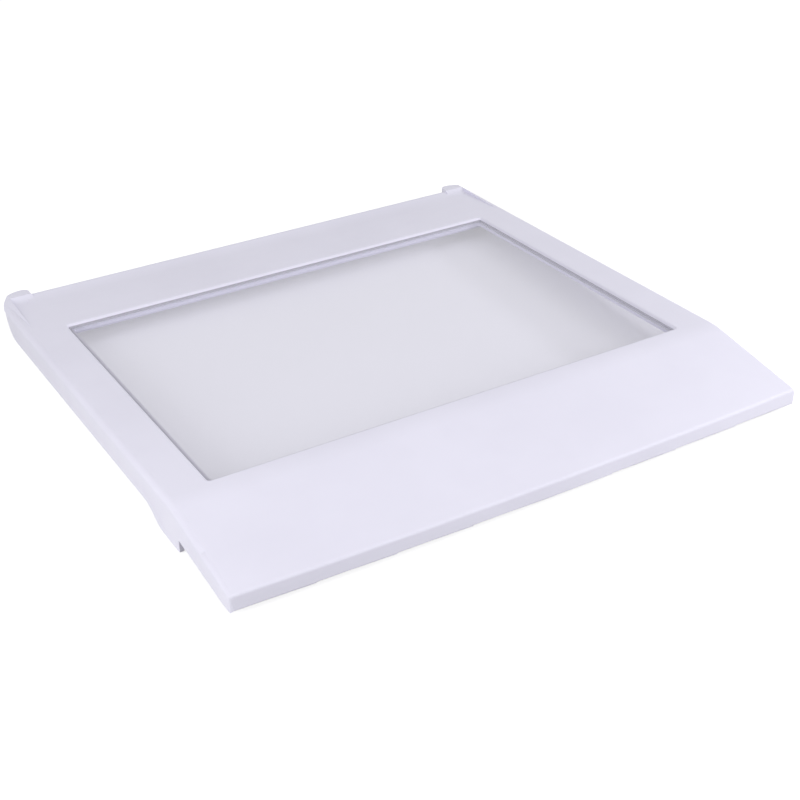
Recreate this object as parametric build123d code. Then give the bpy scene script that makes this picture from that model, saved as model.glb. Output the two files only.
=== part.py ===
"""Fridge glass shelf: a one-piece moulded frame with a drop-in pane of toughened glass.

+X is to the right, +Y to the rear and +Z up. The origin is under the middle of the shelf,
level with the bottom of its front feet. All lengths are in millimetres, all angles in degrees.
"""
from build123d import *
import os
from math import acos, atan2, cos, degrees, hypot, radians, sin, sqrt, tan

# Plan of the frame
frame_width = 442.0         # across the two side walls
frame_depth = 433.4         # middle of the front edge to the rear of the ears
front_crown = 3.2           # how far the front edge bows forward in the middle
side_rail_width = 31.5      # outer face of a side wall to the window
rear_bar_depth = 68.5       # rear edge to the window
apron_depth = 94.6          # front corners to the window
window_corner_radius = 2.0
window_lip_radius = 2.5     # rounding of the window's upper edge

# Heights, all measured down from the top of the rails
foot_depth = 31.5           # bottom of the front feet
side_wall_depth = 21.6      # lower edge of the side walls
apron_drop = 17.6           # upper front corners of the apron
front_face_height = 12.6    # upright front edge of the apron
flange_depth = 4.0          # underside of the rear flange and the ears

# Moulded walls
side_wall = 3.0             # side, rear and front walls
wall_corner_radius = 9.0    # inner rear corners, between the side walls and the rear wall
skin = 2.5                  # top of the rails, rear bar and apron
rail_edge_radius = 5.0      # rounding between the rails' top and their side walls
front_edge_radius = 2.0     # rounding round the upright front edge
apron_corner_radius = 2.6   # side rounding of the apron where it meets the front edge

# Apron
bend_setback = 12.9         # window to the line where the apron turns down
bend_radius = 60.0
front_return = 11.0         # level underside behind the front corners
skirt_radius = 20.0         # easing between that underside and the skirt's lower edge

# Feet and heels in the lower edge of the side walls
foot_setback = 73.4         # front corners to the upright front of the foot
foot_length = 33.0          # level bottom of the foot
foot_ramp_run = 15.0        # length of the ramp up to the side wall's lower edge
foot_ramp_ease = 0.45       # share of the ramp taken by each of its end curves
foot_nose_radius = 2.0
heel_setback = 12.2         # rear edge to the upright end of the heel
heel_radius = 20.0
gusset_width = 11.0
gusset_clearance = 4.0      # gusset's lower end above the bottom of the foot

# Rear edge: a low coved lip, an ear reaching back from each corner, and a fading kerb along each rail
lip_height = 1.5
lip_crest = 3.0             # level top of the lip
lip_cove_run = 14.0         # hollow curve from the rear bar up to the crest
ear_height = 2.8
ear_reach = 7.8             # behind the rear edge
ear_step = 0.15             # the ear's outer face stands in from the side wall
ear_width = 25.5            # outer face of the side wall to the ear's inner side
ear_outer_radius = 19.0     # rear corner in line with the side wall
ear_inner_radius = 6.0      # rear corner towards the middle
ear_cove_lead = 1.5         # the ear's hollow curve starts this far ahead of its outer corner
crest_edge_radius = 1.2
kerb_inset = 7.4            # outer face of the side wall to the kerb's inner face
kerb_length = 59.0          # along the rail, from the rear edge

# Glass and its seat
glass_thickness = 4.0
glass_recess = 1.8          # glass top below the rails' top
glass_clearance = 0.6       # between the pane's edge and the well, all round
glass_edge_chamfer = 0.5
ledge_width = 3.2
ledge_thickness = 2.5
well_wall = 2.5

# Stiffening ribs under the skin
rib_thickness = 1.8
rib_depth = 9.5
rib_pitch = 54.0
weld = 0.6                  # how far a rib runs into the walls it stiffens

# Derived places
half_width = frame_width / 2
foremost = -frame_depth / 2
front = foremost + front_crown                 # front corners
rearmost = frame_depth / 2
rear = rearmost - ear_reach                    # rear edge between the ears
window_half = half_width - side_rail_width
window_front = front + apron_depth
window_rear = rear - rear_bar_depth
window_middle = (window_front + window_rear) / 2
window_width = 2 * window_half
window_depth = window_rear - window_front
crown_radius = (half_width ** 2 + front_crown ** 2) / (2 * front_crown)

rail_top = foot_depth
side_bottom = rail_top - side_wall_depth
front_top = rail_top - apron_drop
front_bottom = front_top - front_face_height
flange_bottom = rail_top - flange_depth
glass_top = rail_top - glass_recess
ledge_top = glass_top - glass_thickness
ledge_bottom = ledge_top - ledge_thickness

bend_line = window_front - bend_setback
apron_angle = degrees(atan2(apron_drop, bend_line - front))
apron_tilt = radians(apron_angle)
bend_start = bend_line + bend_radius * tan(apron_tilt / 2)
bend_end = bend_start - bend_radius * sin(apron_tilt)
bend_end_top = rail_top - bend_radius * (1 - cos(apron_tilt))

form_depth = foot_depth + rail_edge_radius     # the outer form reaches below every lower edge
form_bottom = rail_top - form_depth
headroom = rail_top + 2 * rail_edge_radius     # above everything
outside = foremost - side_wall                 # ahead of everything
behind = rearmost + side_wall                  # behind everything
full_width = frame_width + 2 * side_wall       # past both side walls
kerb_front = rear - kerb_length
heel = rear - heel_setback
ear_inner = half_width - ear_width
ear_outer = half_width - ear_step
ear_corner = rearmost - ear_outer_radius       # where the ear's outer corner leaves the side wall
ear_start = ear_corner - ear_cove_lead
rails_rear = max(ear_corner, heel)
crest = rail_top + ear_height                  # top of the ears and of the kerbs' rear ends
kerb_inner = half_width - kerb_inset
inner_half = half_width - side_wall
inner_rear = heel - side_wall
tolerance = 0.01

# The kerb's outer slope touches the rounding between the rail's top and its side wall
round_centre = (half_width - rail_edge_radius, rail_top - rail_edge_radius)
kerb_run = round_centre[0] - kerb_inner
kerb_rise = crest - round_centre[1]
kerb_slope = acos(rail_edge_radius / hypot(kerb_run, kerb_rise)) - atan2(kerb_run, kerb_rise)
kerb_foot = (
    round_centre[0] + rail_edge_radius * sin(kerb_slope),
    round_centre[1] + rail_edge_radius * cos(kerb_slope),
)


def upper_rim(block, half, back, low):
    """Upper edges of a block along its side walls (at x = half on either side) and its rear wall."""
    def on_walls(point):
        return abs(abs(point.X) - half) < tolerance or abs(point.Y - back) < tolerance

    def in_rim(edge):
        middle = edge.center()
        along = edge % 0.5
        crosses = abs(along.X) > 1 - tolerance and abs(middle.Y - back) > tolerance
        upright = abs(along.Z) > 1 - tolerance
        return (
            middle.Z > low - tolerance and on_walls(edge @ 0) and on_walls(edge @ 1)
            and not upright and not crosses
        )

    return block.edges().filter_by(in_rim)


def upright_plane(y, top):
    """Plane across the shelf at depth y, facing the front, with its origin on the top surface."""
    return Plane(origin=(0, y, top), x_dir=(1, 0, 0), z_dir=(0, -1, 0))


def cross_section(plane, corner_radius):
    """Section of the outer form, hung from the top surface, with rounded upper corners."""
    outline = Pos(0, -form_depth / 2) * Rectangle(frame_width, form_depth)
    upper_corners = outline.vertices().group_by(Axis.Y)[-1]
    return plane * fillet(upper_corners, corner_radius)


def side_profile(points, radii, width):
    """Closed outline in the YZ plane, with its corners rounded, carried across the shelf."""
    outline = make_face(FilletPolyline(*points, radius=radii, close=True))
    return extrude(Plane.YZ * outline, amount=width / 2, both=True)


def bowed_front(inset):
    """Everything behind the bowed front edge, or behind a line set back from it."""
    reach = full_width / 2
    middle = foremost + inset
    ends = middle + crown_radius - sqrt(crown_radius ** 2 - reach ** 2)
    bow = ThreePointArc((-reach, ends), (0, middle), (reach, ends))
    outline = bow + Polyline((reach, ends), (reach, rear), (-reach, rear), (-reach, ends))
    return extrude(Pos(0, 0, form_bottom) * make_face(outline), amount=headroom - form_bottom)


def rails_and_apron():
    """Outer form from the front edge to the ears: straight rails, a bend, and the apron."""
    rail_section = cross_section(upright_plane(bend_start, rail_top), rail_edge_radius)
    rails = extrude(rail_section, amount=bend_start - rails_rear)

    bend_axis = Axis((0, bend_start, rail_top - bend_radius), (1, 0, 0))
    bend = revolve(rail_section, axis=bend_axis, revolution_arc=apron_angle)

    bend_end_plane = Plane(
        origin=(0, bend_end, bend_end_top),
        x_dir=(1, 0, 0),
        z_dir=(0, -cos(apron_tilt), -sin(apron_tilt)),
    )
    foremost_top = front_top - front_crown * tan(apron_tilt)
    sections = [
        cross_section(bend_end_plane, rail_edge_radius),
        cross_section(upright_plane(foremost, foremost_top), apron_corner_radius),
    ]
    apron = loft(sections, ruled=True) & bowed_front(0)
    return rails + bend + apron


def coved_edge(height, cove_run, back):
    """Raised rear edge, in side view: a hollow curve up from the rear bar and a level crest."""
    crest_top = rail_top + height
    crest_front = rear - lip_crest
    cove_start = crest_front - cove_run
    outline = Polyline(
        (crest_front, crest_top), (back, crest_top), (back, flange_bottom), (cove_start, flange_bottom),
        (cove_start, rail_top),
    ) + TangentArc((cove_start, rail_top), (crest_front, crest_top), tangent=(1, 0))
    return Plane.YZ * make_face(outline)


def lip():
    """Low lip along the rear edge, from ear to ear."""
    side_view = coved_edge(lip_height, lip_cove_run, rear)
    body = extrude(side_view, amount=ear_inner + ear_inner_radius, both=True)
    crest_edge = body.edges().filter_by(Axis.X).group_by(Axis.Z)[-1].sort_by(Axis.Y)[-1]
    return fillet(crest_edge, crest_edge_radius)


def ear():
    """Right ear: a tongue in line with the side wall that reaches back and stands above the lip."""
    slope_end = crest - (ear_outer - kerb_inner) * tan(kerb_slope)
    end_view = make_face(FilletPolyline(
        (ear_inner, form_bottom), (ear_outer, form_bottom), (ear_outer, slope_end),
        (kerb_inner, crest), (ear_inner, crest),
        radius=[0, 0, rail_edge_radius, 0, crest_edge_radius], close=True,
    ))
    corners = [
        (ear_inner, kerb_front), (ear_outer, kerb_front), (ear_outer, rearmost), (ear_inner, rearmost),
    ]
    plan = make_face(FilletPolyline(*corners, radius=[0, 0, ear_outer_radius, 0], close=True))
    plan &= make_face(FilletPolyline(*corners, radius=[0, 0, 0, ear_inner_radius], close=True))
    side_view = coved_edge(ear_height, rear - lip_crest - ear_start, rearmost)
    tongue = extrude(upright_plane(rearmost, 0) * end_view, amount=rearmost - ear_start)
    tongue &= extrude(Pos(0, 0, flange_bottom) * plan, amount=headroom - flange_bottom)
    return tongue & extrude(side_view, amount=half_width)


def kerb():
    """Right kerb: an upright inner face that fades out towards the front, and an outer slope."""
    rear_end = make_face(Polyline(
        (kerb_inner, rail_top - skin), (kerb_inner, crest), kerb_foot, close=True,
    ))
    return loft([
        upright_plane(rear - lip_crest, 0) * rear_end,
        Vertex(kerb_inner, kerb_front, rail_top),
    ])


def lower_edge():
    """Everything above the lower edge: front return, skirt, foot, ramp, side wall, heel and flange."""
    foot_front = front + foot_setback
    foot_rear = foot_front + foot_length
    ramp_end = foot_rear + foot_ramp_run
    ramp_angle = atan2(side_bottom, foot_ramp_run)
    ramp_radius = foot_ramp_ease * hypot(foot_ramp_run, side_bottom) / tan(ramp_angle / 2)
    points = [
        (outside, headroom), (outside, front_bottom), (front + front_return, front_bottom),
        (foot_front, side_bottom), (foot_front, 0), (foot_rear, 0), (ramp_end, side_bottom),
        (heel, side_bottom), (heel, headroom),
    ]
    radii = [0, 0, skirt_radius, 0, foot_nose_radius, ramp_radius, ramp_radius, heel_radius, 0]
    flange = Pos(0, (window_rear + behind) / 2, (flange_bottom + headroom) / 2) * Box(
        full_width, behind - window_rear, headroom - flange_bottom
    )
    return side_profile(points, radii, full_width) + flange


def under_skin(depth):
    """Points of a line under the top surface, at a set depth, from the rear wall to the front."""
    bend = bend_line + depth * tan(apron_tilt / 2)
    front_z = rail_top - depth / cos(apron_tilt) - (bend_line - outside) * tan(apron_tilt)
    return [(inner_rear, rail_top - depth), (bend, rail_top - depth), (outside, front_z)]


def hollow():
    """Open underside of the moulding, inside the walls and under the skin."""
    points = [*under_skin(skin), (outside, form_bottom), (inner_rear, form_bottom)]
    room = side_profile(points, [0, bend_radius - skin, 0, 0, 0], 2 * inner_half) & bowed_front(side_wall)
    corners = room.edges().filter_by(Axis.Z).group_by(Axis.Y)[-1]
    room = fillet(corners, wall_corner_radius)
    rim = upper_rim(room, inner_half, inner_rear, form_bottom + skin)
    return fillet(rim, rail_edge_radius - side_wall)


def window_block(margin, bottom, top, corner_radius):
    """Upright block on the window's plan, larger all round by a margin."""
    plan = RectangleRounded(window_width + 2 * margin, window_depth + 2 * margin, corner_radius)
    return extrude(Pos(0, window_middle, bottom) * plan, amount=top - bottom)


def spread(low, high):
    """Rib places between two walls, evenly spaced and no wider apart than the pitch."""
    bays = max(1, round((high - low) / rib_pitch))
    return [low + (high - low) * i / bays for i in range(1, bays)]


def ribs():
    """Stiffening ribs under the skin: across the rails, and along and across the apron and rear bar."""
    top_line = under_skin(skin - weld)
    low_line = under_skin(skin + rib_depth)
    points = [*top_line, *reversed(low_line)]
    slab = side_profile(points, 0, 2 * (inner_half + weld))

    well_half = window_half + well_wall
    well_front = window_front - well_wall
    well_rear = window_rear + well_wall
    plates = []
    for x in spread(-inner_half, inner_half):
        plates.append((x, x, foremost + weld, well_front + weld))
        plates.append((x, x, well_rear - weld, inner_rear + weld))
    for y in spread(well_front, well_rear):
        plates.append((well_half - weld, half_width, y, y))
        plates.append((-half_width, -well_half + weld, y, y))
    for y in ((front + well_front) / 2, well_front, well_rear, (inner_rear + well_rear) / 2):
        plates.append((-half_width, half_width, y, y))

    grid = Part()
    for x0, x1, y0, y1 in plates:
        size = (max(x1 - x0, rib_thickness), max(y1 - y0, rib_thickness), headroom)
        grid += Pos((x0 + x1) / 2, (y0 + y1) / 2, headroom / 2) * Box(*size)
    return grid & slab


def gussets():
    """Triangular webs at both ends of the right foot, from the skin down the inside of the side wall."""
    foot_front = front + foot_setback
    web = make_face(Polyline(
        (inner_half + weld, rail_top - skin), (inner_half - gusset_width, rail_top - skin),
        (inner_half - gusset_width, rail_top - skin - rib_depth), (inner_half + weld, gusset_clearance),
        close=True,
    ))
    webs = Part()
    for y in (foot_front + rib_thickness / 2, foot_front + foot_length - rib_thickness / 2):
        webs += extrude(upright_plane(y, 0) * web, amount=rib_thickness / 2, both=True)
    return webs


def shelf_frame():
    """The whole moulding."""
    right_corner = ear() + kerb()
    outer = rails_and_apron() + lip()
    outer += right_corner + mirror(right_corner, about=Plane.YZ)
    outer &= lower_edge()
    front_face = outer.faces().sort_by(Axis.Y)[0]
    outer = fillet(front_face.edges(), front_edge_radius)

    right_gussets = gussets()
    stiffeners = ribs() + right_gussets + mirror(right_gussets, about=Plane.YZ)
    well = window_block(well_wall, ledge_bottom, rail_top - skin / 2, window_corner_radius + well_wall)
    frame = outer - hollow() + (stiffeners & outer) + well
    frame -= window_block(0, ledge_top, headroom, window_corner_radius)
    frame -= window_block(-ledge_width, form_bottom, headroom, window_corner_radius)

    def on_window(edge):
        middle = edge.center()
        return (
            abs(middle.Z - rail_top) < tolerance
            and abs(middle.X) < window_half + tolerance
            and abs(middle.Y - window_middle) < window_depth / 2 + tolerance
        )

    return fillet(frame.edges().filter_by(on_window), window_lip_radius)


def glass_pane():
    """Clear pane with seamed edges, lying on the ledge of the window well."""
    pane = window_block(
        -glass_clearance, ledge_top, glass_top, window_corner_radius - glass_clearance
    )
    flat_faces = pane.faces().filter_by(Axis.Z)
    return chamfer([edge for face in flat_faces for edge in face.edges()], glass_edge_chamfer)


os.makedirs("parts", exist_ok=True)
export_step(shelf_frame(), "parts/shelf_frame.step")
export_step(glass_pane(), "parts/glass_pane.step")
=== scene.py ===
"""Looks of a fridge glass shelf, laid out as an add-on.

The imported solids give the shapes. This file gives the moulding and the pane their finishes, adds the
bedding and the seal round the pane and the marks that a mould leaves under the moulding, and sets a
plain studio stage.
"""

import bpy
import numpy as np
from bpy.props import FloatProperty, FloatVectorProperty, IntProperty, PointerProperty
from mathutils import Matrix, Vector


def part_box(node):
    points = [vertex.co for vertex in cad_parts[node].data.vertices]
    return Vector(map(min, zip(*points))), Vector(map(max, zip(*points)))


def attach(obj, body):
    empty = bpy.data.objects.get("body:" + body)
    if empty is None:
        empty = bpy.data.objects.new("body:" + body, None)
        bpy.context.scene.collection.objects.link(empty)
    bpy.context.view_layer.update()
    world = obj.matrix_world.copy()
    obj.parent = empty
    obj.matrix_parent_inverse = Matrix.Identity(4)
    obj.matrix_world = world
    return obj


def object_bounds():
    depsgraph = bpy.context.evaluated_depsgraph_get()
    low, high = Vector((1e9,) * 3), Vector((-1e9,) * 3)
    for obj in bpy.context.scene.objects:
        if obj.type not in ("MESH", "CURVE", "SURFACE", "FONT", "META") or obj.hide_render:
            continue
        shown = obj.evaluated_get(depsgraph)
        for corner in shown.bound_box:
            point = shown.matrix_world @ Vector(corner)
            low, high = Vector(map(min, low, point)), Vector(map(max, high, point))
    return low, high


bl_info = {
    "name": "Fridge glass shelf",
    "version": (1, 0, 0),
    "blender": (4, 5, 0),
    "location": "3D View > Sidebar > Glass Shelf",
    "description": "Finishes, mould marks and a studio stage for a fridge glass shelf",
    "category": "Object",
}

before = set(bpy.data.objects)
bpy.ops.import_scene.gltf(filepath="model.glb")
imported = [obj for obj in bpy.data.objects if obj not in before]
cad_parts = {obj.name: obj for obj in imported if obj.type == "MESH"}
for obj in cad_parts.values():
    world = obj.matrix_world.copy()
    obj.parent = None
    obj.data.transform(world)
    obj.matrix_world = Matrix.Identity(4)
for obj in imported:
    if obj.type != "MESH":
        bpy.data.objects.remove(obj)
cad_low, cad_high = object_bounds()

MOULDING = "shelf_frame"
PANE = "glass_pane"
MM = 0.001

# Refraction of plastic and glass.
PLASTIC_IOR = 1.5
GLASS_IOR = 1.5

# Noise between the two ends of a range fades from none of an effect to all of it.
CLOUD_RANGE = (0.35, 0.65)
SCUFF_RANGE = (0.42, 0.68)
SMEAR_RANGE = (0.45, 0.75)
PATCH_RANGE = (0.30, 0.70)

# Scuffs run long from side to side, so their noise is squeezed from front to rear.
SCUFF_SQUEEZE = (1.0, 6.0, 1.0)

# Filler: how rough it is, and how much of its colour is left in its deeper patches.
FILLER_ROUGHNESS = 0.6
FILLER_DEPTH = 0.95

# Floor: half of its width, and which points of the moulding count as its level feet or as behind them.
FLOOR_REACH = 6.0
LEVEL_TOLERANCE = 0.01 * MM
BEHIND_FEET = 50 * MM

# Camera: width of its sensor in millimetres, and how far it sees.
SENSOR_WIDTH = 36
SIGHT = 50

# Lamps: name, place, width, and whether the lamp shows in reflections. Their powers are stage settings.
LAMPS = (
    ("left", (-0.85, -0.30, 0.34), 0.4, False),
    ("high", (-1.13, -0.41, 1.22), 0.9, True),
    ("front", (0.50, -0.80, 0.40), 0.4, False),
    ("right", (1.45, -0.68, 0.60), 0.2, False),
)


class MouldingSettings(bpy.types.PropertyGroup):
    """Finish of the white moulding."""

    colour: FloatVectorProperty(
        name="Colour", description="White of the moulding", subtype="COLOR", min=0, max=1,
        default=(0.832, 0.817, 0.943),
    )
    cloud_colour: FloatVectorProperty(
        name="Cloud colour", description="Faint second tone that drifts through the white",
        subtype="COLOR", min=0, max=1, default=(0.806, 0.791, 0.915),
    )
    cloud_size: FloatProperty(
        name="Cloud size", description="Width of the drifts of the second tone",
        unit="LENGTH", min=0.001, default=0.07,
    )
    grain_size: FloatProperty(
        name="Grain size", description="Width of the fine grain that the mould leaves",
        unit="LENGTH", min=0.0001, default=0.0009,
    )
    grain_depth: FloatProperty(
        name="Grain depth", description="Depth of the fine grain", unit="LENGTH", min=0, default=0.000012,
    )
    roughness: FloatProperty(
        name="Roughness", description="Roughness of the clean surface", subtype="FACTOR", min=0, max=1,
        default=0.36,
    )
    scuff_roughness: FloatProperty(
        name="Scuff roughness", description="Roughness where the surface is rubbed", subtype="FACTOR",
        min=0, max=1, default=0.46,
    )
    scuff_size: FloatProperty(
        name="Scuff size", description="Length of the rubbed patches", unit="LENGTH", min=0.001,
        default=0.03,
    )


class MarkSettings(bpy.types.PropertyGroup):
    """Marks that the mould leaves under the moulding."""

    ejector_radius: FloatProperty(
        name="Ejector radius", description="Radius of the flat left by an ejector pin",
        unit="LENGTH", min=0.0005, default=0.003,
    )
    ejector_height: FloatProperty(
        name="Ejector height", description="How far that flat stands proud", unit="LENGTH", min=0,
        default=0.00025,
    )
    ejector_rounding: FloatProperty(
        name="Ejector rounding", description="Rounding of that flat's rim", unit="LENGTH", min=0,
        default=0.0001,
    )
    ejector_columns: IntProperty(
        name="Ejector columns", description="Flats in each row", min=1, default=8,
    )
    ejector_pitch: FloatProperty(
        name="Ejector pitch", description="Distance between the flats of a row", unit="LENGTH", min=0.001,
        default=0.0545,
    )
    ejector_rows: FloatVectorProperty(
        name="Ejector rows", description="Where the rows of flats lie, from front to rear", size=4,
        unit="LENGTH", default=(-0.188, -0.144, 0.155, 0.179),
    )
    gate_radius: FloatProperty(
        name="Gate radius", description="Radius of the stub where the plastic came in",
        unit="LENGTH", min=0.0005, default=0.0018,
    )
    gate_height: FloatProperty(
        name="Gate height", description="Height of that stub", unit="LENGTH", min=0, default=0.0011,
    )
    gate_rounding: FloatProperty(
        name="Gate rounding", description="Rounding of that stub's rim", unit="LENGTH", min=0,
        default=0.0004,
    )
    gate_spread: FloatProperty(
        name="Gate spread", description="Distance of the stubs from the middle line", unit="LENGTH", min=0,
        default=0.096,
    )
    gate_rows: FloatVectorProperty(
        name="Gate rows", description="Where the pairs of stubs lie, from front to rear", size=2,
        unit="LENGTH", default=(-0.147, 0.158),
    )
    sink: FloatProperty(
        name="Sink", description="How far each mark's foot lies within the moulding", unit="LENGTH", min=0,
        default=0.00005,
    )
    turns: IntProperty(
        name="Turns", description="Points round each mark", min=8, default=28,
    )


class PaneSettings(bpy.types.PropertyGroup):
    """Finish of the glass pane."""

    tint: FloatVectorProperty(
        name="Tint", description="Colour of light through the pane", subtype="COLOR", min=0, max=1,
        default=(0.850, 0.840, 0.915),
    )
    shade: FloatVectorProperty(
        name="Shade", description="Colour that each face gives to the light that falls through the pane",
        subtype="COLOR", min=0, max=1, default=(0.92, 0.92, 0.94),
    )
    smear_size: FloatProperty(
        name="Smear size", description="Width of the faint smears left by wiping", unit="LENGTH",
        min=0.001, default=0.05,
    )
    smear_roughness: FloatProperty(
        name="Smear roughness", description="Roughness within a smear", subtype="FACTOR", min=0, max=1,
        default=0.05,
    )


class SealSettings(bpy.types.PropertyGroup):
    """Adhesive under the pane's border and the seal round its edge, whose dark grey is painted shade of the
    gap round the pane.
    """

    bedding_colour: FloatVectorProperty(
        name="Bedding colour", description="Colour of the adhesive between the pane and its ledge",
        subtype="COLOR", min=0, max=1, default=(0.80, 0.79, 0.87),
    )
    bedding_width: FloatProperty(
        name="Bedding width", description="Width of the adhesive", unit="LENGTH", min=0.0005,
        default=0.0021,
    )
    bedding_thickness: FloatProperty(
        name="Bedding thickness", description="Thickness of the adhesive", unit="LENGTH", min=0.00002,
        default=0.0001,
    )
    # Painted shade: the seal fills the gap round the pane, and its dark grey stands for the shade in that
    # gap.
    painted_shade_seal_colour: FloatVectorProperty(
        name="Seal colour", description="Colour of the seal round the pane's edge",
        subtype="COLOR", min=0, max=1, default=(0.50, 0.49, 0.57),
    )
    seal_reach: FloatProperty(
        name="Seal reach", description="How far the seal reaches out from the pane's edge", unit="LENGTH",
        min=0, default=0.00055,
    )
    seal_lap: FloatProperty(
        name="Seal lap", description="How far the seal laps over the pane's edge", unit="LENGTH",
        min=0, default=0.0005,
    )
    # Painted shade: the seal laps further over the pane at the rear, where that shade is wider.
    shaded_rear_lap: FloatProperty(
        name="Rear lap", description="How far the seal laps over the pane at the rear", unit="LENGTH",
        min=0, default=0.0016,
    )
    seal_crest: FloatProperty(
        name="Seal crest", description="How far the seal stands above the pane", unit="LENGTH",
        min=0, default=0.00003,
    )


class StageSettings(bpy.types.PropertyGroup):
    """Floor, light and camera."""

    # Painted shade: within a rectangle under the shelf the floor gets less added white than around it, so it
    # looks shaded through the pane; its colour there is lighter, so lamp light and shadow show more strongly
    # on it.
    near_colour: FloatVectorProperty(
        name="Near colour", description="Colour of the floor under the shelf", subtype="COLOR", min=0,
        max=1, default=(0.80, 0.80, 0.80),
    )
    far_colour: FloatVectorProperty(
        name="Far colour", description="Colour of the floor around the shelf", subtype="COLOR", min=0,
        max=1, default=(0.45, 0.45, 0.45),
    )
    # Painted shade: this added white is lower than the far glow, so the floor under the shelf looks darker
    # where it is seen.
    painted_shade_glow: FloatProperty(
        name="Near glow", description="White added to the floor under the shelf, where it is seen", min=0,
        default=0.26,
    )
    far_glow: FloatProperty(
        name="Far glow", description="White added to the floor around the shelf, where it is seen", min=0,
        default=0.79,
    )
    # Corners of the rectangle of painted shade on the floor, set towards the rear and the right of the
    # shelf.
    painted_shade_low: FloatVectorProperty(
        name="Near low", description="Left front corner of the floor under the shelf", size=2,
        subtype="XYZ", unit="LENGTH", default=(-0.180, -0.175),
    )
    painted_shade_high: FloatVectorProperty(
        name="Near high", description="Right rear corner of the floor under the shelf", size=2,
        subtype="XYZ", unit="LENGTH", default=(0.225, 0.220),
    )
    fade: FloatProperty(
        name="Fade", description="Distance over which the floor under the shelf turns into the rest",
        unit="LENGTH", min=0.001, default=0.03,
    )
    sky_colour: FloatVectorProperty(
        name="Sky colour", description="Colour of the light from all round", subtype="COLOR", min=0, max=1,
        default=(1.0, 1.0, 1.0),
    )
    sky_strength: FloatProperty(
        name="Sky strength", description="Strength of the light from all round", min=0, default=0.50,
    )
    left_power: FloatProperty(
        name="Left light", description="Light close to the left side", unit="POWER", min=0, default=2.45,
    )
    high_power: FloatProperty(
        name="High light", description="Soft light high at the left", unit="POWER", min=0, default=2.9,
    )
    front_power: FloatProperty(
        name="Front light", description="Light close to the front right corner", unit="POWER", min=0,
        default=2.8,
    )
    right_power: FloatProperty(
        name="Right light", description="Small light low at the right", unit="POWER", min=0, default=7.0,
    )
    camera_place: FloatVectorProperty(
        name="Camera place", description="Where the camera stands", subtype="TRANSLATION", unit="LENGTH",
        default=(-0.4601, -0.82195, 0.5077),
    )
    camera_turn: FloatProperty(
        name="Camera turn", description="Heading, turned from the shelf's front towards its right",
        subtype="ANGLE", default=np.radians(-30.318),
    )
    camera_tilt: FloatProperty(
        name="Camera tilt", description="How far the camera looks down", subtype="ANGLE",
        default=np.radians(29.616),
    )
    camera_roll: FloatProperty(
        name="Camera roll", description="Turn about the line of sight", subtype="ANGLE",
        default=np.radians(-1.582),
    )
    camera_lens: FloatProperty(
        name="Lens", description="Focal length on a 36 mm sensor", unit="CAMERA", min=1, default=63.43,
    )


def shader(name):
    """New material with only an output node; gives the material, its tree and the output."""
    material = bpy.data.materials.new(name)
    material.use_nodes = True
    material.node_tree.nodes.clear()
    return material, material.node_tree, material.node_tree.nodes.new("ShaderNodeOutputMaterial")


def node(tree, kind, sockets=(), **settings):
    """New node. A socket's value is a plain value, or the output socket that feeds it."""
    made = tree.nodes.new("ShaderNode" + kind)
    for key, value in settings.items():
        setattr(made, key, value)
    for key, value in dict(sockets).items():
        if isinstance(value, bpy.types.NodeSocket):
            tree.links.new(value, made.inputs[key])
        else:
            made.inputs[key].default_value = value
    return made


def noise(tree, vector, size, detail=2.0):
    """Noise whose features are about as wide as size, in metres."""
    made = node(tree, "TexNoise", {"Vector": vector, "Scale": 1 / size, "Detail": detail})
    return made.outputs["Fac"]


def ramp(tree, value, low, high, to_low=0.0, to_high=1.0):
    """Value carried from the range low..high to the range to_low..to_high, and held there."""
    made = node(tree, "MapRange", {
        "Value": value, "From Min": low, "From Max": high, "To Min": to_low, "To Max": to_high,
    })
    return made.outputs["Result"]


def mixed_colour(tree, factor, first, second):
    """Colour between two plain colours."""
    made = node(tree, "Mix", data_type="RGBA")
    tree.links.new(factor, made.inputs["Factor"])
    made.inputs["A"].default_value = (*first, 1)
    made.inputs["B"].default_value = (*second, 1)
    return made.outputs["Result"]


def outside(tree, place, low, high):
    """How far a place lies outside a rectangle in plan, below zero within it."""
    middle = (*((low + high) / 2)[:2], 0)
    half = (*((high - low) / 2)[:2], 0)
    from_middle = node(tree, "VectorMath", {0: place, 1: middle}, operation="SUBTRACT").outputs["Vector"]
    beside = node(tree, "VectorMath", {0: from_middle}, operation="ABSOLUTE").outputs["Vector"]
    past = node(tree, "VectorMath", {0: beside, 1: half}, operation="SUBTRACT").outputs["Vector"]
    split = node(tree, "SeparateXYZ", {"Vector": past})
    return node(tree, "Math", {
        0: split.outputs["X"], 1: split.outputs["Y"],
    }, operation="MAXIMUM").outputs["Value"]


def moulded_white(settings):
    """White moulded plastic: a drifting tone, a fine grain and rubbed patches."""
    material, tree, output = shader("moulded_white")
    place = node(tree, "TexCoord").outputs["Object"]
    clouds = ramp(tree, noise(tree, place, settings.cloud_size, 4.0), *CLOUD_RANGE)
    long_way = node(tree, "Mapping", {"Vector": place, "Scale": SCUFF_SQUEEZE}).outputs["Vector"]
    rubbed = ramp(tree, noise(tree, long_way, settings.scuff_size, 5.0), *SCUFF_RANGE)
    grain = noise(tree, place, settings.grain_size, 3.0)
    bump = node(tree, "Bump", {"Height": grain, "Distance": settings.grain_depth, "Strength": 1.0})
    plastic = node(tree, "BsdfPrincipled", {
        "Base Color": mixed_colour(tree, clouds, settings.colour, settings.cloud_colour),
        "Roughness": ramp(tree, rubbed, 0.0, 1.0, settings.roughness, settings.scuff_roughness),
        "Normal": bump.outputs["Normal"],
        "IOR": PLASTIC_IOR,
    })
    tree.links.new(plastic.outputs["BSDF"], output.inputs["Surface"])
    return material


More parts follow.
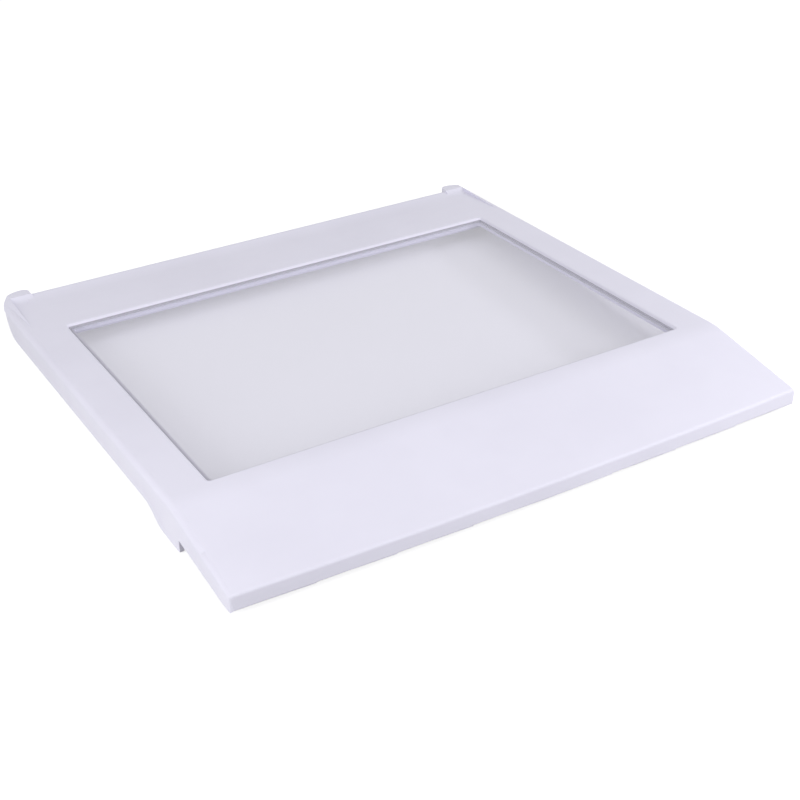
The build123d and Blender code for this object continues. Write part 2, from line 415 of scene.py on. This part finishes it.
def clear_pane(settings):
    """Clear glass that lets lamps through, with faint smears."""
    material, tree, output = shader("clear_pane")
    place = node(tree, "TexCoord").outputs["Object"]
    smears = ramp(tree, noise(tree, place, settings.smear_size, 4.0), *SMEAR_RANGE)
    glass = node(tree, "BsdfPrincipled", {
        "Base Color": (*settings.tint, 1),
        "Roughness": ramp(tree, smears, 0.0, 1.0, 0.0, settings.smear_roughness),
        "IOR": GLASS_IOR,
        "Transmission Weight": 1.0,
    })
    open_way = node(tree, "BsdfTransparent", {"Color": (*settings.shade, 1)})
    ray = node(tree, "LightPath")
    lit = node(tree, "Math", {
        0: ray.outputs["Is Shadow Ray"], 1: ray.outputs["Is Diffuse Ray"],
    }, operation="MAXIMUM")
    both = node(tree, "MixShader", {
        0: lit.outputs["Value"], 1: glass.outputs["BSDF"], 2: open_way.outputs["BSDF"],
    })
    tree.links.new(both.outputs["Shader"], output.inputs["Surface"])
    return material


def soft_filler(name, colour, patch_size):
    """Soft filler of one colour with a faintly uneven tone."""
    material, tree, output = shader(name)
    place = node(tree, "TexCoord").outputs["Object"]
    patches = ramp(tree, noise(tree, place, patch_size, 3.0), *PATCH_RANGE)
    deeper = [FILLER_DEPTH * part for part in colour]
    filler = node(tree, "BsdfPrincipled", {
        "Base Color": mixed_colour(tree, patches, colour, deeper),
        "Roughness": FILLER_ROUGHNESS,
    })
    tree.links.new(filler.outputs["BSDF"], output.inputs["Surface"])
    return material


def rectangular_ring(outer, inner, bottom, top):
    """Closed ring between two upright rectangles, each given by its low and high corner in plan.

    A point is (x_i, y_i, z): i goes round the four corners, and the ring's section goes round the outer
    rectangle at the bottom, at the top, and the inner rectangle at the top and at the bottom.
    """
    def corners(low, high):
        return np.array([(high[0], high[1]), (low[0], high[1]), (low[0], low[1]), (high[0], low[1])])

    plan = np.stack([corners(*outer), corners(*outer), corners(*inner), corners(*inner)], axis=1)
    upright = np.broadcast_to(np.array([bottom, top, top, bottom])[None, :, None], (4, 4, 1))
    points = np.concatenate([plan, upright], axis=-1)
    corner, step = np.meshgrid(np.arange(4), np.arange(4), indexing="ij")
    next_corner, next_step = (corner + 1) % 4, (step + 1) % 4
    faces = np.stack([
        corner * 4 + step, next_corner * 4 + step, next_corner * 4 + next_step, corner * 4 + next_step,
    ], axis=-1)
    return points.reshape(-1, 3), faces.reshape(-1, 4).tolist()


def grown(low, high, margin):
    """Low and high corner of a rectangle in plan, moved out by a margin."""
    step = np.array([margin, margin])
    return np.array(low[:2]) - step, np.array(high[:2]) + step


def clothe(name, material):
    """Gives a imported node's object one material all over."""
    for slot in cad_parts[name].material_slots:
        slot.material = material


def turned_button(radius, height, rounding, turns, arc_points=5):
    """Button that stands on z = 0, turned about Z.

    A point is (r(t) cos a, r(t) sin a, h(t)): a goes round once, and the profile (r, h) runs up the
    side, round a quarter circle and in to the middle, where the last ring closes on one point.
    """
    arc = np.linspace(0, np.pi / 2, arc_points)
    profile_r = np.concatenate(([radius], radius - rounding + rounding * np.cos(arc)))
    profile_h = np.concatenate(([0], height - rounding + rounding * np.sin(arc)))
    angle = np.arange(turns) * 2 * np.pi / turns
    rings = np.stack([
        np.outer(profile_r, np.cos(angle)),
        np.outer(profile_r, np.sin(angle)),
        np.repeat(profile_h[:, None], turns, axis=1),
    ], axis=-1)
    points = np.concatenate([rings.reshape(-1, 3), [[0, 0, height]]])

    ring, step = np.meshgrid(np.arange(len(profile_r) - 1), np.arange(turns), indexing="ij")
    after = (step + 1) % turns
    sides = np.stack([
        ring * turns + step, ring * turns + after, (ring + 1) * turns + after, (ring + 1) * turns + step,
    ], axis=-1).reshape(-1, 4)
    last = (len(profile_r) - 1) * turns + np.arange(turns)
    cap = np.stack([last, np.roll(last, -1), np.full(turns, len(points) - 1)], axis=-1)
    return points, sides, cap


def seats_below(places):
    """Point and outward direction on the underside of the moulding above each place (x, y)."""
    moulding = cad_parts[MOULDING]
    below = cad_low.z - 10 * MM
    seats = []
    for x, y in places:
        found, point, normal, _ = moulding.ray_cast(Vector((x, y, below)), Vector((0, 0, 1)))
        if not found:
            raise RuntimeError(f"the moulding has no underside at {x:.4f}, {y:.4f}")
        seats.append((point, normal))
    return seats


def stand_on(seats, button, sink):
    """Copies of a button, one on each seat, with its axis along the seat's outward direction."""
    points, sides, cap = button
    turns = np.array([normal.to_track_quat("Z", "X").to_matrix() for _, normal in seats])
    roots = np.array([point - normal * sink for point, normal in seats])
    placed = np.einsum("nij,pj->npi", turns, points) + roots[:, None, :]
    start = np.arange(len(seats))[:, None, None] * len(points)
    faces = (sides + start).reshape(-1, 4).tolist() + (cap + start).reshape(-1, 3).tolist()
    return placed.reshape(-1, 3), faces


def piece(name, points, faces, material):
    """New object, in place in its mesh, that rides with the shelf."""
    mesh = bpy.data.meshes.new(name)
    mesh.from_pydata(points.tolist(), [], faces)
    mesh.materials.append(material)
    made = bpy.data.objects.new(name, mesh)
    bpy.context.scene.collection.objects.link(made)
    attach(made, "root")
    return made


def crossings(columns, rows):
    """Places (x, y) where columns and rows cross, row by row."""
    return np.stack(np.meshgrid(columns, rows), axis=-1).reshape(-1, 2)


def mould_marks(name, places, button, sink):
    """New piece of mould marks, one under the moulding at each place, in the moulding's own plastic."""
    points, faces = stand_on(seats_below(places), button, sink)
    made = piece(name, points, faces, bpy.data.materials["moulded_white"])
    made.data.shade_smooth()
    return made


class FinishMoulding(bpy.types.Operator):
    """Give the moulding its white plastic"""

    bl_idname = "glass_shelf.finish_moulding"
    bl_label = "Finish Moulding"

    def execute(self, context):
        clothe(MOULDING, moulded_white(context.scene.shelf_moulding))
        return {"FINISHED"}


class FinishPane(bpy.types.Operator):
    """Give the pane its clear glass"""

    bl_idname = "glass_shelf.finish_pane"
    bl_label = "Finish Pane"

    def execute(self, context):
        clothe(PANE, clear_pane(context.scene.shelf_pane))
        return {"FINISHED"}


class AddBedding(bpy.types.Operator):
    """Add the adhesive that beds the pane on its ledge"""

    bl_idname = "glass_shelf.add_bedding"
    bl_label = "Add Bedding"

    def execute(self, context):
        seal = context.scene.shelf_seal
        low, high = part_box(PANE)
        inset = seal.seal_lap + seal.bedding_width
        half = seal.bedding_thickness / 2
        points, faces = rectangular_ring(
            grown(low, high, -seal.seal_lap), grown(low, high, -inset), low.z - half, low.z + half,
        )
        piece("bedding", points, faces, soft_filler("bedding", seal.bedding_colour, seal.bedding_width))
        return {"FINISHED"}


class AddSeal(bpy.types.Operator):
    """Add the seal that fills the gap round the pane's edge, in a dark grey that paints the shade of that
    gap
    """

    bl_idname = "glass_shelf.add_seal"
    bl_label = "Add Seal"

    def execute(self, context):
        seal = context.scene.shelf_seal
        low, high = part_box(PANE)
        inner_low, inner_high = grown(low, high, -seal.seal_lap)
        # Painted shade: the seal reaches further over the pane at the rear.
        inner_high[1] -= seal.shaded_rear_lap - seal.seal_lap
        points, faces = rectangular_ring(
            grown(low, high, seal.seal_reach), (inner_low, inner_high), low.z, high.z + seal.seal_crest,
        )
        # Painted shade: the seal's dark grey stands for the shade of the gap round the pane.
        piece("seal", points, faces, soft_filler("seal", seal.painted_shade_seal_colour, 4 * seal.seal_lap))
        return {"FINISHED"}


class AddEjectorMarks(bpy.types.Operator):
    """Add the flats that ejector pins leave between the ribs"""

    bl_idname = "glass_shelf.add_ejector_marks"
    bl_label = "Add Ejector Marks"

    def execute(self, context):
        marks = context.scene.shelf_marks
        count = marks.ejector_columns
        columns = (np.arange(count) - (count - 1) / 2) * marks.ejector_pitch
        button = turned_button(
            marks.ejector_radius, marks.ejector_height, marks.ejector_rounding, marks.turns,
        )
        mould_marks("ejector_marks", crossings(columns, marks.ejector_rows), button, marks.sink)
        return {"FINISHED"}


class AddGateMarks(bpy.types.Operator):
    """Add the stubs where the plastic came into the mould"""

    bl_idname = "glass_shelf.add_gate_marks"
    bl_label = "Add Gate Marks"

    def execute(self, context):
        marks = context.scene.shelf_marks
        columns = (-marks.gate_spread, marks.gate_spread)
        button = turned_button(marks.gate_radius, marks.gate_height, marks.gate_rounding, marks.turns)
        mould_marks("gate_marks", crossings(columns, marks.gate_rows), button, marks.sink)
        return {"FINISHED"}


def resting_line():
    """Line (y0, slope) of the floor in side view, touching the feet and the heels from below.

    y0 is the rear end of the level feet, and the slope is the least height over distance, z / (y - y0),
    of the moulding's points behind them.
    """
    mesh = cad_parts[MOULDING].data
    flat = np.empty(3 * len(mesh.vertices), np.float32)
    mesh.vertices.foreach_get("co", flat)
    y, z = flat.reshape(-1, 3).T[1:]
    level = z < cad_low.z + LEVEL_TOLERANCE
    y0 = y[level].max()
    behind = y > y0 + BEHIND_FEET
    return float(y0), float(((z[behind] - cad_low.z) / (y[behind] - y0)).min())


def floor_sheet(half_width):
    """Flat floor of one square face, z = slope (y - y0) in the shelf's frame."""
    y0, slope = resting_line()
    x, y = np.meshgrid([-half_width, half_width], [-half_width, half_width])
    points = np.stack([x, y, cad_low.z + slope * (y - y0)], axis=-1).reshape(-1, 3)
    mesh = bpy.data.meshes.new("floor")
    mesh.from_pydata(points.tolist(), [], [(0, 1, 3, 2)])
    made = bpy.data.objects.new("floor", mesh)
    bpy.context.scene.collection.objects.link(made)
    return made


def seen(tree):
    """1 for rays that see a surface directly, in a reflection or through glass, and 0 for the rest."""
    ray = node(tree, "LightPath")
    either = node(tree, "Math", {
        0: ray.outputs["Is Camera Ray"], 1: ray.outputs["Is Glossy Ray"],
    }, operation="MAXIMUM")
    return node(tree, "Math", {
        0: either.outputs["Value"], 1: ray.outputs["Is Transmission Ray"],
    }, operation="MAXIMUM").outputs["Value"]


def pale_floor(stage):
    """Matt pale floor that keeps shadows and looks brighter than it lights, less so under the shelf, where
    the lower added white is painted shade.

    From below it is clear, so that the shelf's underside can be looked at.
    """
    material, tree, output = shader("pale_floor")
    place = node(tree, "TexCoord").outputs["Object"]
    # Painted shade mask: 0 within the rectangle under the shelf, rising to 1 beyond it over the fade.
    away = outside(tree, place, Vector(stage.painted_shade_low), Vector(stage.painted_shade_high))
    far = ramp(tree, away, 0.0, stage.fade)
    matt = node(tree, "BsdfDiffuse", {"Color": mixed_colour(tree, far, stage.near_colour, stage.far_colour)})
    # Painted shade: less added white under the shelf than around it.
    level = ramp(tree, far, 0.0, 1.0, stage.painted_shade_glow, stage.far_glow)
    strength = node(tree, "Math", {0: seen(tree), 1: level}, operation="MULTIPLY")
    glow = node(tree, "Emission", {"Strength": strength.outputs["Value"]})
    both = node(tree, "AddShader", {0: matt.outputs["BSDF"], 1: glow.outputs["Emission"]})
    one_sided = node(tree, "MixShader", {
        0: node(tree, "NewGeometry").outputs["Backfacing"], 1: both.outputs["Shader"],
        2: node(tree, "BsdfTransparent").outputs["BSDF"],
    })
    tree.links.new(one_sided.outputs["Shader"], output.inputs["Surface"])
    return material


def studio_sky(stage):
    """Even light from all round, seen as white."""
    world = bpy.data.worlds.new("studio_sky")
    world.use_nodes = True
    tree = world.node_tree
    tree.nodes.clear()
    light = node(tree, "Background", {"Color": (*stage.sky_colour, 1), "Strength": stage.sky_strength})
    white = node(tree, "Background", {"Color": (1, 1, 1, 1), "Strength": 1.0})
    both = node(tree, "MixShader", {
        0: seen(tree), 1: light.outputs["Background"], 2: white.outputs["Background"],
    })
    output = tree.nodes.new("ShaderNodeOutputWorld")
    tree.links.new(both.outputs["Shader"], output.inputs["Surface"])
    return world


def softbox(name, place, width, power, mirrored):
    """Square soft light that looks at the middle of the shelf; mirrored says if reflections show it."""
    lamp = bpy.data.lights.new(name, "AREA")
    lamp.size = width
    lamp.energy = power
    made = bpy.data.objects.new(name, lamp)
    made.visible_glossy = mirrored
    made.location = place
    middle = (cad_low + cad_high) / 2
    made.rotation_euler = (middle - Vector(place)).to_track_quat("-Z", "Y").to_euler()
    bpy.context.scene.collection.objects.link(made)
    return made


def stage_camera(stage):
    """Camera at the stage's place, turned about Z, tilted down and rolled."""
    lens = bpy.data.cameras.new("camera")
    lens.lens = stage.camera_lens
    lens.sensor_width = SENSOR_WIDTH
    lens.clip_end = SIGHT
    made = bpy.data.objects.new("camera", lens)
    heading = Matrix.Rotation(stage.camera_turn, 4, "Z")
    tilt = Matrix.Rotation(np.pi / 2 - stage.camera_tilt, 4, "X")
    roll = Matrix.Rotation(stage.camera_roll, 4, "Z")
    made.matrix_world = Matrix.Translation(stage.camera_place) @ heading @ tilt @ roll
    bpy.context.scene.collection.objects.link(made)
    bpy.context.scene.camera = made
    return made


class SetStage(bpy.types.Operator):
    """Set the floor, the light and the camera"""

    bl_idname = "glass_shelf.set_stage"
    bl_label = "Set Stage"

    def execute(self, context):
        stage = context.scene.shelf_stage
        floor_sheet(FLOOR_REACH).data.materials.append(pale_floor(stage))
        context.scene.world = studio_sky(stage)
        for name, place, width, mirrored in LAMPS:
            softbox(f"{name}_light", place, width, getattr(stage, f"{name}_power"), mirrored)
        stage_camera(stage)
        context.scene.view_settings.view_transform = "Standard"
        return {"FINISHED"}


OPERATORS = (FinishMoulding, FinishPane, AddBedding, AddSeal, AddEjectorMarks, AddGateMarks, SetStage)


class ShelfPanel(bpy.types.Panel):
    """Steps and settings of the glass shelf"""

    bl_idname = "VIEW3D_PT_glass_shelf"
    bl_label = "Glass Shelf"
    bl_space_type = "VIEW_3D"
    bl_region_type = "UI"
    bl_category = "Glass Shelf"

    def draw(self, context):
        for operator in OPERATORS:
            self.layout.operator(operator.bl_idname)
        for name, group in SETTINGS.items():
            box = self.layout.box()
            for key in group.__annotations__:
                box.prop(getattr(context.scene, name), key)


SETTINGS = {
    "shelf_moulding": MouldingSettings,
    "shelf_marks": MarkSettings,
    "shelf_pane": PaneSettings,
    "shelf_seal": SealSettings,
    "shelf_stage": StageSettings,
}


CLASSES = (*SETTINGS.values(), *OPERATORS, ShelfPanel)


def register():
    """Add the settings, steps and panel to Blender."""
    for member in CLASSES:
        bpy.utils.register_class(member)
    for name, group in SETTINGS.items():
        setattr(bpy.types.Scene, name, PointerProperty(type=group))


def unregister():
    """Take the settings, steps and panel out of Blender again."""
    for name in SETTINGS:
        delattr(bpy.types.Scene, name)
    for member in reversed(CLASSES):
        bpy.utils.unregister_class(member)


def main():
    """Run every step in order."""
    register()
    bpy.ops.glass_shelf.finish_moulding()
    bpy.ops.glass_shelf.finish_pane()
    bpy.ops.glass_shelf.add_bedding()
    bpy.ops.glass_shelf.add_seal()
    bpy.ops.glass_shelf.add_ejector_marks()
    bpy.ops.glass_shelf.add_gate_marks()
    bpy.ops.glass_shelf.set_stage()


if __name__ == "__main__":
    main()
